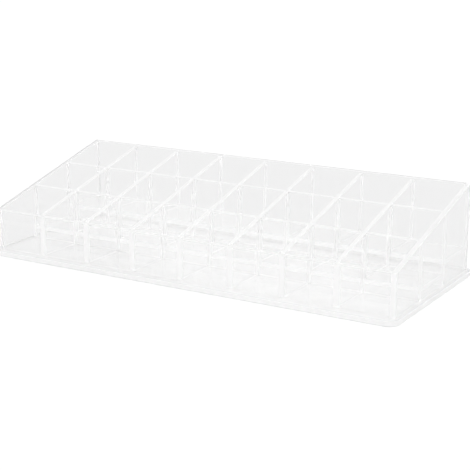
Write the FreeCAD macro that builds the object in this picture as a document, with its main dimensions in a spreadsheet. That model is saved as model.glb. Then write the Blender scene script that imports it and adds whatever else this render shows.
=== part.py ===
# Clear vanity organizer with eight columns and three stepped rows of square compartments.
# It is built as cut acrylic sheets: a base, four outer walls, two row dividers that are also
# the risers of the steps, two raised floors, and seven column dividers that lap over the row
# dividers. Neighbouring sheets are kept apart by one thin bond line of cement.
# The origin is the middle of the underside, X runs along the columns and the high rear is +Y.
import FreeCAD, Part
import os
import Sketcher

COLUMNS = 8
STEPS = (("front_row_divider", "middle_step_floor"), ("rear_row_divider", "rear_step_floor"))
ROWS = len(STEPS) + 1

SIZES = {
    "compartment_width": 25.0,
    "compartment_depth": 25.0,
    "wall_thickness": 2.5,
    "divider_thickness": 2.0,
    "floor_thickness": 2.0,
    "base_thickness": 2.5,
    "base_side_overhang": 2.0,
    "base_front_overhang": 5.0,
    "base_corner_radius": 5.0,
    "front_height": 20.0,
    "rear_height": 42.5,
    "step_rise": 6.0,
    "lap_depth": 8.0,
    "lap_clearance": 0.1,
    "bond_line": 0.05,
    "edge_radius": 0.4,
    "cut_overrun": 1.0,
}

# Sizes that follow from the sheet, written as expressions; the base stands out as far at the rear
# as at the front
COLUMN_PITCH = "(Sizes.compartment_width + Sizes.divider_thickness)"
ROW_PITCH = "(Sizes.compartment_depth + Sizes.divider_thickness)"
INNER_WIDTH = f"({COLUMNS} * {COLUMN_PITCH} - Sizes.divider_thickness)"
INNER_DEPTH = f"({ROWS} * {ROW_PITCH} - Sizes.divider_thickness)"
BODY_WIDTH = f"({INNER_WIDTH} + 2 * Sizes.wall_thickness)"
BODY_DEPTH = f"({INNER_DEPTH} + 2 * Sizes.wall_thickness)"
BASE_WIDTH = f"({BODY_WIDTH} + 2 * Sizes.base_side_overhang)"
BASE_DEPTH = f"({BODY_DEPTH} + 2 * Sizes.base_front_overhang)"
FITTED_WIDTH = f"({INNER_WIDTH} - 2 * Sizes.bond_line)"
FRONT_FACE = f"(-{BODY_DEPTH} / 2)"
FOOT = "(Sizes.base_thickness + Sizes.bond_line)"

# How a sheet that is drawn flat is turned: left lying, stood along the rack or stood across it
LYING = FreeCAD.Rotation()
STOOD_ALONG = FreeCAD.Rotation(FreeCAD.Vector(1, 0, 0), 90)
STOOD_ACROSS = FreeCAD.Rotation(FreeCAD.Vector(1, 1, 1), 120)

document = FreeCAD.newDocument("vanity_organizer")
sheet = document.addObject("Spreadsheet::Sheet", "Sizes")
for line, (alias, size) in enumerate(SIZES.items(), start=1):
    sheet.set(f"A{line}", alias)
    sheet.set(f"B{line}", str(size))
    sheet.setAlias(f"B{line}", alias)
document.recompute()


def amount(text):
    """The number that an expression gives with the sheet's present sizes."""
    return float(sheet.evalExpression(text))


def rounded(coordinate):
    """A coordinate to five decimals, so that equal ones compare as equal."""
    return round(coordinate, 5)


def rim_height(distance):
    """Height of the straight sloped rim at a distance behind the front face."""
    rise = "(Sizes.rear_height - Sizes.front_height)"
    return f"(Sizes.front_height + {rise} * {distance} / {BODY_DEPTH})"


def row_divider_face(step):
    """How far a row divider's front face lies behind the front face of the rack."""
    return f"(Sizes.wall_thickness + {step} * {ROW_PITCH} - Sizes.divider_thickness)"


def row_divider_height(step):
    """Height of a row divider, which is that of the rim over its middle."""
    return rim_height(f"({row_divider_face(step)} + Sizes.divider_thickness / 2)")


def column_divider_face(column):
    """How far a column divider's left face lies from the left end of the inside."""
    return f"({column} * {COLUMN_PITCH} - Sizes.divider_thickness)"


def draw_outline(body, name, corners):
    """A sketch of straight sides whose corners, each a pair of expressions, follow the sheet."""
    sketch = body.newObject("Sketcher::SketchObject", name)
    plane = next(item for item in body.Origin.OriginFeatures if item.Role == "XY_Plane")
    sketch.AttachmentSupport = [(plane, "")]
    sketch.MapMode = "FlatFace"
    points = [FreeCAD.Vector(amount(across), amount(up), 0) for across, up in corners]
    for corner, point in enumerate(points):
        sketch.addGeometry(Part.LineSegment(point, points[(corner + 1) % len(points)]))
    for corner in range(len(points)):
        following = (corner + 1) % len(points)
        sketch.addConstraint(Sketcher.Constraint("Coincident", corner, 2, following, 1))
    for corner, texts in enumerate(corners):
        for kind, text in zip(("DistanceX", "DistanceY"), texts):
            rule = Sketcher.Constraint(kind, -1, 1, corner, 1, amount(text))
            sketch.renameConstraint(sketch.addConstraint(rule), f"{kind}_{corner}")
            sketch.setExpression(f"Constraints.{kind}_{corner}", text)
    return sketch


def rectangle(left, bottom, right, top):
    """Corners of a rectangle, anticlockwise from its lower left."""
    return [(left, bottom), (right, bottom), (right, top), (left, top)]


def cut_sheet(label, corners, thickness, turn, position):
    """A sheet with the given outline, turned and set at a position of three expressions."""
    body = document.addObject("PartDesign::Body", label)
    body.Label = label
    outline = draw_outline(body, "outline", corners)
    blank = body.newObject("PartDesign::Pad", "blank")
    blank.Profile = outline
    blank.setExpression("Length", thickness)
    body.Placement = FreeCAD.Placement(FreeCAD.Vector(), turn)
    for axis, text in zip("xyz", position):
        body.setExpression(f"Placement.Base.{axis}", text)
    document.recompute()
    return body


def edges_over(body, first, second, level=None):
    """Names of the edges over the side between two corners, on both faces or at one level."""
    wanted = {tuple(rounded(amount(text)) for text in corner) for corner in (first, second)}
    names = []
    for number, edge in enumerate(body.Tip.Shape.Edges, start=1):
        ends = [vertex.Point for vertex in edge.Vertexes]
        found = {(rounded(end.x), rounded(end.y)) for end in ends}
        levels = {rounded(end.z) for end in ends}
        if found == wanted and (level is None or levels == {rounded(amount(level))}):
            names.append(f"Edge{number}")
    return names


def round_edges(body, name, edges, radius):
    """Rounds the named edges of the body as it stands."""
    before = body.Tip
    rounding = body.newObject("PartDesign::Fillet", name)
    rounding.Base = (before, edges)
    rounding.setExpression("Radius", radius)
    document.recompute()


def make_base_plate():
    """The bottom sheet, with round corners and polished rims."""
    corners = rectangle("0", "0", BASE_WIDTH, BASE_DEPTH)
    position = (f"-{BASE_WIDTH} / 2", f"-{BASE_DEPTH} / 2", "0")
    body = cut_sheet("base_plate", corners, "Sizes.base_thickness", LYING, position)
    uprights = [name for corner in corners for name in edges_over(body, corner, corner)]
    round_edges(body, "corners", uprights, "Sizes.base_corner_radius")
    rims = []
    for number, edge in enumerate(body.Tip.Shape.Edges, start=1):
        if len({rounded(vertex.Point.z) for vertex in edge.Vertexes}) == 1:
            rims.append(f"Edge{number}")
    round_edges(body, "rims", rims, "Sizes.edge_radius")
    return body


def make_side_wall(label, left_face, outer_level):
    """An outer side wall with the sloped top, rounded on top and on its outer uprights."""
    front_foot = ("0", "0")
    rear_foot = (BODY_DEPTH, "0")
    rear_top = (BODY_DEPTH, "Sizes.rear_height")
    front_top = ("0", "Sizes.front_height")
    corners = [front_foot, rear_foot, rear_top, front_top]
    position = (left_face, FRONT_FACE, FOOT)
    body = cut_sheet(label, corners, "Sizes.wall_thickness", STOOD_ACROSS, position)
    edges = edges_over(body, rear_top, front_top)
    edges += edges_over(body, front_foot, front_top, outer_level)
    edges += edges_over(body, rear_foot, rear_top, outer_level)
    round_edges(body, "polish", edges, "Sizes.edge_radius")
    return body


def make_long_wall(label, height, thickness, rear_face):
    """A wall that runs between the side walls, rounded on top."""
    corners = rectangle("0", "0", FITTED_WIDTH, height)
    position = (f"-{FITTED_WIDTH} / 2", f"{FRONT_FACE} + {rear_face}", FOOT)
    body = cut_sheet(label, corners, thickness, STOOD_ALONG, position)
    round_edges(body, "polish", edges_over(body, corners[2], corners[3]), "Sizes.edge_radius")
    return body


def make_row_divider(label, step):
    """A wall between two rows, slotted from above for the column dividers."""
    height = row_divider_height(step)
    rear_face = f"{row_divider_face(step)} + Sizes.divider_thickness"
    body = make_long_wall(label, height, "Sizes.divider_thickness", rear_face)
    left = f"{column_divider_face(1)} - Sizes.bond_line - Sizes.lap_clearance"
    right = f"{left} + Sizes.divider_thickness + 2 * Sizes.lap_clearance"
    opening = rectangle(left, f"{height} - Sizes.lap_depth", right, f"{height} + Sizes.cut_overrun")
    profile = draw_outline(body, "slot_outline", opening)
    slot = body.newObject("PartDesign::Pocket", "slot")
    slot.Profile = profile
    slot.Type = "ThroughAll"
    slot.Reversed = True
    document.recompute()
    slots = body.newObject("PartDesign::LinearPattern", "slots")
    slots.Originals = [slot]
    slots.Direction = (profile, ["H_Axis"])
    slots.Occurrences = COLUMNS - 1
    slots.setExpression("Length", f"{COLUMNS - 2} * {COLUMN_PITCH}")
    body.Tip = slots
    document.recompute()
    return body


def make_step_floor(label, step):
    """A raised floor between its two long walls, hollow underneath."""
    corners = rectangle("0", "0", FITTED_WIDTH, "Sizes.compartment_depth - 2 * Sizes.bond_line")
    front = f"{FRONT_FACE} + Sizes.wall_thickness + {step} * {ROW_PITCH} + Sizes.bond_line"
    underside = f"{FOOT} + {step} * Sizes.step_rise - Sizes.floor_thickness"
    position = (f"-{FITTED_WIDTH} / 2", front, underside)
    return cut_sheet(label, corners, "Sizes.floor_thickness", LYING, position)


def make_column_divider(column):
    """A cross wall with the sloped top, stepped below and notched from below for the row dividers."""
    front = "(Sizes.wall_thickness + Sizes.bond_line)"
    rear = f"({BODY_DEPTH} - Sizes.wall_thickness - Sizes.bond_line)"
    level = "0"
    corners = [(front, level)]
    for step in range(1, ROWS):
        near = f"{row_divider_face(step)} - Sizes.lap_clearance"
        far = f"{row_divider_face(step)} + Sizes.divider_thickness + Sizes.lap_clearance"
        seat = f"{row_divider_height(step)} - Sizes.lap_depth + Sizes.bond_line"
        corners += [(near, level), (near, seat), (far, seat)]
        level = f"{step} * Sizes.step_rise + Sizes.bond_line"
        corners.append((far, level))
    corners += [(rear, level), (rear, rim_height(rear)), (front, rim_height(front))]
    left_face = f"-{INNER_WIDTH} / 2 + {column_divider_face(column)}"
    position = (left_face, FRONT_FACE, FOOT)
    label = f"column_divider_{column}"
    body = cut_sheet(label, corners, "Sizes.divider_thickness", STOOD_ACROSS, position)
    round_edges(body, "polish", edges_over(body, corners[-2], corners[-1]), "Sizes.edge_radius")
    return body


pieces = [
    make_base_plate(),
    make_side_wall("left_side_wall", f"-{BODY_WIDTH} / 2", "0"),
    make_side_wall("right_side_wall", f"{BODY_WIDTH} / 2 - Sizes.wall_thickness", "Sizes.wall_thickness"),
    make_long_wall("front_wall", "Sizes.front_height", "Sizes.wall_thickness", "Sizes.wall_thickness"),
    make_long_wall("rear_wall", "Sizes.rear_height", "Sizes.wall_thickness", BODY_DEPTH),
]
for step, (divider, floor) in enumerate(STEPS, start=1):
    pieces.append(make_row_divider(divider, step))
    pieces.append(make_step_floor(floor, step))
for column in range(1, COLUMNS):
    pieces.append(make_column_divider(column))

# Every object and every solid is checked before anything is written
for item in document.Objects:
    if "Invalid" in item.State or "Error" in item.State:
        raise RuntimeError(f"{item.Label} did not build: {item.State}")
for piece in pieces:
    if piece.Shape.isNull() or not piece.Shape.isValid() or len(piece.Shape.Solids) != 1:
        raise RuntimeError(f"{piece.Label} is not one sound solid")

os.makedirs("parts", exist_ok=True)
for piece in pieces:
    piece.Shape.exportStep(f"parts/{piece.Label}.step")
    box = piece.Shape.BoundBox
    print(f"{piece.Label}: {piece.Shape.Volume:.1f} mm3, Z {box.ZMin:.2f} to {box.ZMax:.2f}")
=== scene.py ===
# %% [markdown]
# # A clear stepped vanity organizer
# The real object is a rack of clear acrylic sheet: eight columns and three rows of square
# compartments under one sloped rim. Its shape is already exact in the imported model, so this
# lesson loads that model as a fixed frame and spends its effort on clear plastic, the cemented
# joints and the light.

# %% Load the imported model
import math

import bpy
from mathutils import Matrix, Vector


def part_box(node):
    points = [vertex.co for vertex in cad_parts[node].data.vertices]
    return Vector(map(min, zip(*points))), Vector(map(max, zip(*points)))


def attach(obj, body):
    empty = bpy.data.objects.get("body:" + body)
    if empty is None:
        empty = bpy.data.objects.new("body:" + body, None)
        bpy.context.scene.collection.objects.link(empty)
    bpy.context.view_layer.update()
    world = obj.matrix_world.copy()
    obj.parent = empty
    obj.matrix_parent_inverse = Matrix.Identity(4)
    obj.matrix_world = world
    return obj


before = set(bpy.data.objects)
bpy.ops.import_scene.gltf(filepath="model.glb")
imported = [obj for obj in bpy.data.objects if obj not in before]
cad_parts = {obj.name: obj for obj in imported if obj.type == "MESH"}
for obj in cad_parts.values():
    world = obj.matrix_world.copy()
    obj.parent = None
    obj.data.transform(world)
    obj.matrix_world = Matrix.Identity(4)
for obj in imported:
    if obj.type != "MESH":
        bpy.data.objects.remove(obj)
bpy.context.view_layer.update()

MM = 0.001
print("sheets in the frame:", len(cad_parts))

# %% [markdown]
# Two small helpers come first. One turns a written sRGB colour into the linear numbers that
# shaders use. The other adds a shader node, gives it its settings and joins its inputs, so
# that a material below reads as a list of what feeds what.

# %% Colour and node helpers
def linear(hex_colour):
    """An sRGB hex colour as linear RGBA."""
    channels = [int(hex_colour[place:place + 2], 16) / 255 for place in (1, 3, 5)]
    lit = [c / 12.92 if c <= 0.04045 else ((c + 0.055) / 1.055) ** 2.4 for c in channels]
    return (*lit, 1.0)


def add_node(tree, kind, inputs=None, **settings):
    """A shader node with its settings, and its inputs set to a value or joined to a socket."""
    made = tree.nodes.new(kind)
    for name, value in settings.items():
        setattr(made, name, value)
    for socket, source in (inputs or {}).items():
        if isinstance(source, bpy.types.NodeSocket):
            tree.links.new(source, made.inputs[socket])
        else:
            made.inputs[socket].default_value = source
    return made

# %% [markdown]
# Clear acrylic is glossy on its faces, which keep the finish of the plate they were cast on, and
# satin on its edges, which were sawn and then only buffed. Painting each edge by hand would need
# a second slot on every sheet. The surface normal already tells the two apart: it points along
# the sheet's thickness on a face and across it on an edge. Buffing also rounds the corner between
# them, so the edge starts where the normal first leaves the face.

# %% Where a sheet is cut
FACE_NORMAL = 0.999
EDGE_NORMAL = 0.98


def cut_edges(tree, place, thickness_axis):
    """1 on the cut edges of a sheet and on their rounding, and 0 on its two faces."""
    sides = add_node(tree, "ShaderNodeSeparateXYZ", {"Vector": place.outputs["Normal"]})
    facing = add_node(tree, "ShaderNodeMath", {0: sides.outputs[thickness_axis]}, operation="ABSOLUTE")
    edge = add_node(tree, "ShaderNodeMapRange", {
        "Value": facing.outputs[0],
        "From Min": FACE_NORMAL,
        "From Max": EDGE_NORMAL,
    })
    return edge.outputs[0]

# %% [markdown]
# A buffed saw cut scatters part of the light, so rims and bonded ends of a clear rack look white.
# In the shader that is less transmission: what isn't let through is scattered by a white body.
# Fine cutter marks make the haze uneven. They are about half a millimetre apart, which is coarser
# than a real cutter leaves, so that they still show in the picture.

# %% Haze of a cut edge
MARK_LENGTH = 0.5 * MM
MARK_DETAIL = 2.0
MARK_LOW = 0.3
MARK_HIGH = 0.7
LEAST_HAZE_SHARE = 0.75


def uneven_clarity(tree, place, edge, edge_clarity):
    """Share of light let through: all of it on a face, and less on a cut edge."""
    marks = add_node(tree, "ShaderNodeTexNoise", {
        "Vector": place.outputs["Object"],
        "Scale": 1 / MARK_LENGTH,
        "Detail": MARK_DETAIL,
    })
    uneven = add_node(tree, "ShaderNodeMapRange", {
        "Value": marks.outputs[0],
        "From Min": MARK_LOW,
        "From Max": MARK_HIGH,
        "To Min": LEAST_HAZE_SHARE,
        "To Max": 1.0,
    })
    haze = add_node(tree, "ShaderNodeMath", {0: edge, 1: uneven.outputs[0]}, operation="MULTIPLY")
    clarity = add_node(tree, "ShaderNodeMapRange", {
        "Value": haze.outputs[0],
        "To Min": 1.0,
        "To Max": edge_clarity,
    })
    return clarity.outputs[0]

# %% [markdown]
# Nothing that is handled stays perfectly glossy. Wiping leaves patches of faint smear a couple of
# centimetres across, which only widen the reflections a little. The haze of the edges sets their
# satin roughness, so both come from one measure of clarity.

# %% Gloss of a handled sheet
SMEAR_LENGTH = 20 * MM
SMEAR_DETAIL = 4.0
SMEAR_LOW = 0.5
SMEAR_HIGH = 0.75
POLISHED = 0.01
SMEARED = 0.04
SATIN = 0.35
SATIN_CLARITY = 0.3


def handled_gloss(tree, place, clarity):
    """Roughness of the surface: polished with faint smears on a face and satin on a cut edge."""
    wiping = add_node(tree, "ShaderNodeTexNoise", {
        "Vector": place.outputs["Object"],
        "Scale": 1 / SMEAR_LENGTH,
        "Detail": SMEAR_DETAIL,
    })
    smears = add_node(tree, "ShaderNodeMapRange", {
        "Value": wiping.outputs[0],
        "From Min": SMEAR_LOW,
        "From Max": SMEAR_HIGH,
        "To Min": POLISHED,
        "To Max": SMEARED,
    })
    gloss = add_node(tree, "ShaderNodeMapRange", {
        "Value": clarity,
        "From Min": 1.0,
        "From Max": SATIN_CLARITY,
        "To Min": smears.outputs[0],
        "To Max": SATIN,
    })
    return gloss.outputs[0]

# %% [markdown]
# A cheap clear sheet is never optically flat. Its faces roll by a few hundredths of a millimetre
# every centimetre or two, and that bends the lines seen through it. A bump from a soft noise does
# this without touching the exact mesh.

# %% Ripple of a cast sheet
RIPPLE_LENGTH = 15 * MM
RIPPLE_DETAIL = 1.0
RIPPLE_DEPTH = 0.04 * MM


def cast_ripple(tree, place):
    """A surface normal that rolls as the face of a cast sheet does."""
    rolling = add_node(tree, "ShaderNodeTexNoise", {
        "Vector": place.outputs["Object"],
        "Scale": 1 / RIPPLE_LENGTH,
        "Detail": RIPPLE_DETAIL,
    })
    wavy = add_node(tree, "ShaderNodeBump", {"Distance": RIPPLE_DEPTH, "Height": rolling.outputs[0]})
    return wavy.outputs[0]

# %% [markdown]
# The acrylic itself is one Principled shader: colourless, an IOR of 1.49, full transmission on the
# faces, and the haze, gloss and ripple from above. Each kind of sheet gets its own copy, because
# its thickness lies along another axis and its edges are finished in another way. The base and
# the walls show their buffed edges, which still let a little light through. The dividers and step
# floors have most of their edges bonded, and cement leaves those white.

# %% Clear acrylic for each kind of sheet
CLEAR = linear("#ffffff")
ACRYLIC_IOR = 1.49
BUFFED_EDGE = 0.15
BONDED_EDGE = 0.0


def clear_acrylic(kind, thickness_axis, edge_clarity):
    """Clear cast acrylic for one kind of sheet, with the clarity of its cut edges."""
    material = bpy.data.materials.new(f"clear cast acrylic {kind}")
    material.use_nodes = True
    tree = material.node_tree
    tree.nodes.clear()
    place = add_node(tree, "ShaderNodeTexCoord")
    edge = cut_edges(tree, place, thickness_axis)
    clarity = uneven_clarity(tree, place, edge, edge_clarity)
    shader = add_node(tree, "ShaderNodeBsdfPrincipled", {
        "Base Color": CLEAR,
        "IOR": ACRYLIC_IOR,
        "Transmission Weight": clarity,
        "Roughness": handled_gloss(tree, place, clarity),
        "Normal": cast_ripple(tree, place),
    })
    add_node(tree, "ShaderNodeOutputMaterial", {"Surface": shader.outputs[0]})
    return material


finishes = {
    "base_plate": clear_acrylic("base", "Z", BUFFED_EDGE),
    "side_wall": clear_acrylic("side wall", "X", BUFFED_EDGE),
    "wall": clear_acrylic("long wall", "Y", BUFFED_EDGE),
    "row_divider": clear_acrylic("row divider", "Y", BONDED_EDGE),
    "column_divider": clear_acrylic("column divider", "X", BONDED_EDGE),
    "step_floor": clear_acrylic("step floor", "Z", BONDED_EDGE),
}
for name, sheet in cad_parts.items():
    finish = next(finish for kind, finish in finishes.items() if kind in name)
    for slot in sheet.material_slots:
        slot.material = finish
    print(name, "is", finish.name)

# %% [markdown]
# The photograph has thin grey lines along the foot of the base and along the outer side of the
# rear and left rims. They are painted shade: a painted contact shadow along the foot, and painted
# shade on the far rims. Each line is the product of two measures. The foot is a cut edge that
# also faces down. A far rim faces up and also lies in the outer part of its sheet.

# %% Painted shade on the foot and far rims
FOOT_SHADE_GREY = linear("#e0e0e0")
FOOT_NORMALS = (-0.05, -0.3)
RIM_SHADE_GREY = linear("#e6e6e6")
RIM_NORMALS = (0.3, 0.6)
SHADED_SHARE = 0.6
SHADE_FADE = 0.2 * MM


def between(tree, vector, axis, start, full):
    """A measure along one axis of a vector: 0 at start and 1 at full."""
    parts = add_node(tree, "ShaderNodeSeparateXYZ", {"Vector": vector})
    measure = add_node(tree, "ShaderNodeMapRange", {
        "Value": parts.outputs[axis],
        "From Min": start,
        "From Max": full,
    })
    return measure.outputs[0]


def mix_colour(tree, first, second, colour):
    """Mixes a colour into a clear finish where both measures are 1."""
    share = add_node(tree, "ShaderNodeMath", {0: first, 1: second}, operation="MULTIPLY")
    mixed = add_node(tree, "ShaderNodeMixRGB", {
        "Fac": share.outputs[0],
        "Color1": CLEAR,
        "Color2": colour,
    })
    shader = next(node for node in tree.nodes if node.type == "BSDF_PRINCIPLED")
    tree.links.new(mixed.outputs[0], shader.inputs["Base Color"])


tree = finishes["base_plate"].node_tree
place = add_node(tree, "ShaderNodeTexCoord")
downward = between(tree, place.outputs["Normal"], "Z", *FOOT_NORMALS)
# Painted contact shadow: a grey mixed into the downward cut edge of the base.
mix_colour(tree, downward, cut_edges(tree, place, "Z"), FOOT_SHADE_GREY)

rear_low, rear_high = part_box("rear_wall")
left_low, left_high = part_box("left_side_wall")
rear_line = rear_high[1] - SHADED_SHARE * (rear_high[1] - rear_low[1])
left_line = left_low[0] + SHADED_SHARE * (left_high[0] - left_low[0])
far_rims = [
    ("wall", "Y", rear_line, rear_line + SHADE_FADE),
    ("side_wall", "X", left_line, left_line - SHADE_FADE),
]
for kind, axis, start, full in far_rims:
    tree = finishes[kind].node_tree
    place = add_node(tree, "ShaderNodeTexCoord")
    upward = between(tree, place.outputs["Normal"], "Z", *RIM_NORMALS)
    outward = between(tree, place.outputs["Object"], axis, start, full)
    # Painted shade: a grey mixed into the upward outer part of each far rim.
    mix_colour(tree, upward, outward, RIM_SHADE_GREY)
print("painted shade on one foot, and on far rims of sheets:", len(far_rims))

# %% [markdown]
# Thin solvent cement is run down the joints of such a rack. It creeps into the corner, dries
# hollow, and leaves a narrow white bead that makes every upright joint show. A bevelled curve
# would give a round cord, so the bead is modelled once as a solid: a small square, its free corner
# cut away in a hollow curve, and the result drawn out to a unit length.

# %% One bead of cement
BEAD_SIZE = 0.5 * MM
BEAD_LENGTH = 1.0 * MM
HOLLOW_SHARE = 0.95
HOLLOW_STEPS = 5
HOLLOW_PROFILE = 0.1
bpy.ops.object.select_all(action="DESELECT")
bpy.ops.mesh.primitive_plane_add(size=BEAD_SIZE, location=(BEAD_SIZE / 2, BEAD_SIZE / 2, 0))
bead = bpy.context.object
bpy.ops.object.transform_apply(location=True)
for corner in bead.data.vertices:
    corner.select = min(corner.co.x, corner.co.y) > BEAD_SIZE / 2
bpy.ops.object.mode_set(mode="EDIT")
bpy.ops.mesh.select_mode(type="VERT")
bpy.ops.mesh.bevel(
    offset=HOLLOW_SHARE * BEAD_SIZE,
    segments=HOLLOW_STEPS,
    profile=HOLLOW_PROFILE,
    affect="VERTICES",
)
bpy.ops.mesh.select_all(action="SELECT")
bpy.ops.mesh.extrude_region_move(TRANSFORM_OT_translate={"value": (0, 0, BEAD_LENGTH)})
bpy.ops.mesh.select_all(action="SELECT")
bpy.ops.mesh.normals_make_consistent(inside=False)
bpy.ops.object.mode_set(mode="OBJECT")
print("corners of one bead:", len(bead.data.vertices))

# %% [markdown]
# The compartments are read from the boxes of the sheets around them: three rows between the long
# sheets, each with its own floor, and eight columns between the side walls. A hair of air stays
# between bead and sheet, because two clear solids that share a face render with black flecks.

# %% Compartments
BEAD_GAP = 0.03 * MM
columns = sorted(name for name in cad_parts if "column_divider" in name)
lefts = [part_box(name)[1][0] + BEAD_GAP for name in ["left_side_wall", *columns]]
rights = [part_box(name)[0][0] - BEAD_GAP for name in [*columns, "right_side_wall"]]
rows = [
    ("front_wall", "base_plate", "front_row_divider"),
    ("front_row_divider", "middle_step_floor", "rear_row_divider"),
    ("rear_row_divider", "rear_step_floor", "rear_wall"),
]
print("compartments:", len(rows) * len(lefts))

# %% [markdown]
# A copy of the bead goes into each upright corner. Going round a compartment, every next corner
# is a quarter turn on, so the bead's hollow side always faces the middle. The rim slopes, so each
# copy is stretched to end just under the rim where it stands.

# %% Beads of every compartment
BEAD_TOP = 0.7 * MM
front_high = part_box("front_wall")[1]
side_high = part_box("left_side_wall")[1]
slope = (side_high[2] - front_high[2]) / (side_high[1] - front_high[1])
beads = []
for front_sheet, floor, rear_sheet in rows:
    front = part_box(front_sheet)[1][1] + BEAD_GAP
    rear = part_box(rear_sheet)[0][1] - BEAD_GAP
    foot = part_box(floor)[1][2] + BEAD_GAP
    for left, right in zip(lefts, rights):
        corners = [(left, front), (right, front), (right, rear), (left, rear)]
        for quarter, (x, y) in enumerate(corners):
            top = front_high[2] + slope * (y - front_high[1]) - BEAD_TOP
            copy = bead.copy()
            copy.data = bead.data.copy()
            bpy.context.collection.objects.link(copy)
            copy.location = (x, y, foot)
            copy.rotation_euler.z = quarter * math.pi / 2
            copy.scale.z = (top - foot) / BEAD_LENGTH
            beads.append(copy)
print("beads laid:", len(beads))

# %% [markdown]
# The copies are joined into one piece, because they ride together and share one finish.

# %% One piece of cement
bpy.data.objects.remove(bead)
bpy.ops.object.select_all(action="DESELECT")
for copy in beads:
    copy.select_set(True)
bpy.context.view_layer.objects.active = beads[0]
bpy.ops.object.join()
bpy.ops.object.transform_apply(location=True, rotation=True, scale=True)
cement = bpy.context.object
cement.name = "cement_beads"
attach(cement, "root")
print("faces of cement:", len(cement.data.polygons))

# %% [markdown]
# Dried cement is milky. Tiny bubbles scatter nearly all the light, and only patches a millimetre
# or two long stay partly clear. Its skin is satin and slightly lumpy. A plain white would look like
# paint, so the clear patches and the lumps come from one noise and fall together.

# %% Dried cement
BUBBLE_LENGTH = 1.5 * MM
BUBBLE_DETAIL = 2.0
PATCH_LOW = 0.4
PATCH_HIGH = 0.7
PATCH_CLARITY = 0.3
LUMP_DEPTH = 0.03 * MM
milky = bpy.data.materials.new("dried acrylic cement")
milky.use_nodes = True
tree = milky.node_tree
tree.nodes.clear()
place = add_node(tree, "ShaderNodeTexCoord")
bubbles = add_node(tree, "ShaderNodeTexNoise", {
    "Vector": place.outputs["Object"],
    "Scale": 1 / BUBBLE_LENGTH,
    "Detail": BUBBLE_DETAIL,
})
patches = add_node(tree, "ShaderNodeMapRange", {
    "Value": bubbles.outputs[0],
    "From Min": PATCH_LOW,
    "From Max": PATCH_HIGH,
    "To Max": PATCH_CLARITY,
})
lumps = add_node(tree, "ShaderNodeBump", {"Distance": LUMP_DEPTH, "Height": bubbles.outputs[0]})
shader = add_node(tree, "ShaderNodeBsdfPrincipled", {
    "Base Color": CLEAR,
    "IOR": ACRYLIC_IOR,
    "Transmission Weight": patches.outputs[0],
    "Roughness": SATIN,
    "Normal": lumps.outputs[0],
})
add_node(tree, "ShaderNodeOutputMaterial", {"Surface": shader.outputs[0]})
cement.data.materials.clear()
cement.data.materials.append(milky)
print("finish of the cement:", milky.name)

# %% [markdown]
# The camera stands where the photograph was taken from: to the right of the front and a little
# above the rim. Its angles, distance and lens were solved so that the grid of rims falls on the
# grid in the photograph, with a camera that isn't rolled to either side.

# %% Camera
AZIMUTH = math.radians(30.98)
ELEVATION = math.radians(14.87)
DISTANCE = 600 * MM
TARGET = Vector((5.79 * MM, 0, 15.3 * MM))
FOCAL_PIXELS = 1230.6
FRAME_PIXELS = 470
SENSOR = 36.0
FAR_CLIP = 20.0
toward_camera = Vector((math.sin(AZIMUTH), -math.cos(AZIMUTH), 0))
back = math.cos(ELEVATION) * toward_camera + Vector((0, 0, math.sin(ELEVATION)))
camera_data = bpy.data.cameras.new("camera")
camera_data.sensor_width = SENSOR
camera_data.lens = FOCAL_PIXELS * SENSOR / FRAME_PIXELS
camera_data.clip_end = FAR_CLIP
camera = bpy.data.objects.new("camera", camera_data)
bpy.context.collection.objects.link(camera)
camera.location = TARGET + DISTANCE * back
camera.rotation_euler = back.to_track_quat("Z", "Y").to_euler()
scene = bpy.context.scene
scene.camera = camera
scene.view_settings.view_transform = "Standard"
print(f"lens {camera_data.lens:.1f} mm")

# %% [markdown]
# The rack stands on a plain pale table. In the photograph the table is cut away to pure white, but
# through the plastic its true pale grey still shows, and only that difference makes clear sheets
# visible at all. A Light Path node gives both: camera rays meet a white table, and every other
# ray meets a pale grey one. A painted pool of light, a stronger glow of the table itself, crosses it
# under the rack, from the front right to the rear left, and fades out all round.

# %% Table
TABLE_SIZE = 12.0
TABLE_GAP = 0.2 * MM
TABLE_GREY = linear("#c8c8c8")
PAINTED_POOL_GLOW = 0.397
FAR_GLOW = 0.335
WHITE_GLOW = 0.5
POOL_MIDDLE = (0, 15 * MM, 0)
POOL_TURN = math.radians(-31)
POOL_HALF_LENGTH = 135 * MM
POOL_HALF_BREADTH = 52 * MM
POOL_SHARE = 0.6
FADED_SHARE = 1.2
bpy.ops.object.select_all(action="DESELECT")
bpy.ops.mesh.primitive_plane_add(size=TABLE_SIZE, location=(0, 0, -TABLE_GAP))
table = bpy.context.object
table.name = "studio_table"
table_finish = bpy.data.materials.new("matt table with painted pool of light")
table_finish.use_nodes = True
tree = table_finish.node_tree
tree.nodes.clear()
place = add_node(tree, "ShaderNodeTexCoord")
shares = add_node(tree, "ShaderNodeMapping", {
    "Vector": place.outputs["Object"],
    "Location": POOL_MIDDLE,
    "Rotation": (0, 0, POOL_TURN),
    "Scale": (POOL_HALF_LENGTH, POOL_HALF_BREADTH, 1),
}, vector_type="TEXTURE")
reach = add_node(tree, "ShaderNodeVectorMath", {0: shares.outputs[0]}, operation="LENGTH")
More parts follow.
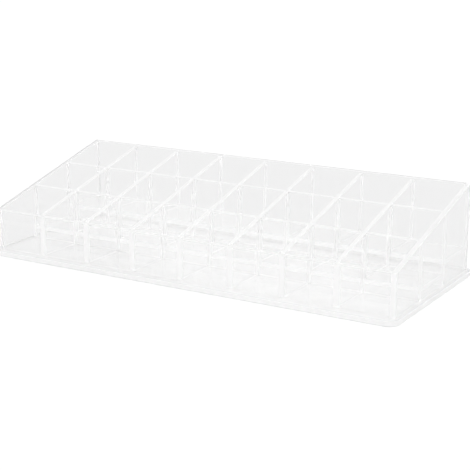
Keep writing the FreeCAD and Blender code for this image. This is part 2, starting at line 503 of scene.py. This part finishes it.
# The pool is painted light: inside it the table's own glow is stronger.
through = add_node(tree, "ShaderNodeMapRange", {
    "Value": reach.outputs["Value"],
    "From Min": POOL_SHARE,
    "From Max": FADED_SHARE,
    "To Min": PAINTED_POOL_GLOW,
    "To Max": FAR_GLOW,
}, interpolation_type="SMOOTHSTEP")
rays = add_node(tree, "ShaderNodeLightPath")
lift = add_node(tree, "ShaderNodeMix", {
    "Factor": rays.outputs["Is Camera Ray"],
    "A": through.outputs[0],
    "B": WHITE_GLOW,
})
paper = add_node(tree, "ShaderNodeBsdfDiffuse", {"Color": TABLE_GREY})
glow = add_node(tree, "ShaderNodeEmission", {"Strength": lift.outputs[0]})
both = add_node(tree, "ShaderNodeAddShader", {0: paper.outputs[0], 1: glow.outputs[0]})
add_node(tree, "ShaderNodeOutputMaterial", {"Surface": both.outputs[0]})
table.data.materials.append(table_finish)
print("table seen through the rack glows from", PAINTED_POOL_GLOW, "to", FAR_GLOW)

# %% [markdown]
# The light is a soft studio dome, a little stronger from the camera's side, as with a large soft
# box beside the camera. Lamps would leave hard streaks inside every sheet. The white ends and
# beads that face the camera catch the stronger side, while a look through a clear face meets the
# weaker side, so joints stand out softly. The camera itself sees white, for a white background in
# low views.

# %% Studio dome
DOME_LIGHT = 0.9
FRONT_LIGHT = 1.1
SEEN_LIGHT = 1.0
world = bpy.data.worlds.new("soft studio dome")
bpy.context.scene.world = world
world.use_nodes = True
tree = world.node_tree
tree.nodes.clear()
where = add_node(tree, "ShaderNodeTexCoord")
facing = add_node(tree, "ShaderNodeVectorMath", {
    0: where.outputs["Generated"],
    1: toward_camera,
}, operation="DOT_PRODUCT")
dome = add_node(tree, "ShaderNodeMapRange", {
    "Value": facing.outputs["Value"],
    "To Min": DOME_LIGHT,
    "To Max": FRONT_LIGHT,
})
rays = add_node(tree, "ShaderNodeLightPath")
seen = add_node(tree, "ShaderNodeMix", {
    "Factor": rays.outputs["Is Camera Ray"],
    "A": dome.outputs[0],
    "B": SEEN_LIGHT,
})
sky = add_node(tree, "ShaderNodeBackground", {
    "Color": linear("#ffffff"),
    "Strength": seen.outputs[0],
})
add_node(tree, "ShaderNodeOutputWorld", {"Surface": sky.outputs[0]})
print("dome light from", DOME_LIGHT, "to", FRONT_LIGHT, "on the camera's side")

# %% [markdown]
# A ray that looks through the rack crosses many sheets, and light that enters an edge is passed
# along inside the sheet by hundreds of reflections. If the path is cut short, edges turn black, so
# the bounce limits are high. Filter Glossy would blur each of those reflections and darken the
# edges in the same way, so it is off.

# %% Light paths
BOUNCES = 1000
scene.cycles.max_bounces = BOUNCES
scene.cycles.transmission_bounces = BOUNCES
scene.cycles.glossy_bounces = BOUNCES
scene.cycles.diffuse_bounces = BOUNCES
scene.cycles.blur_glossy = 0.0
print("bounces allowed:", BOUNCES)
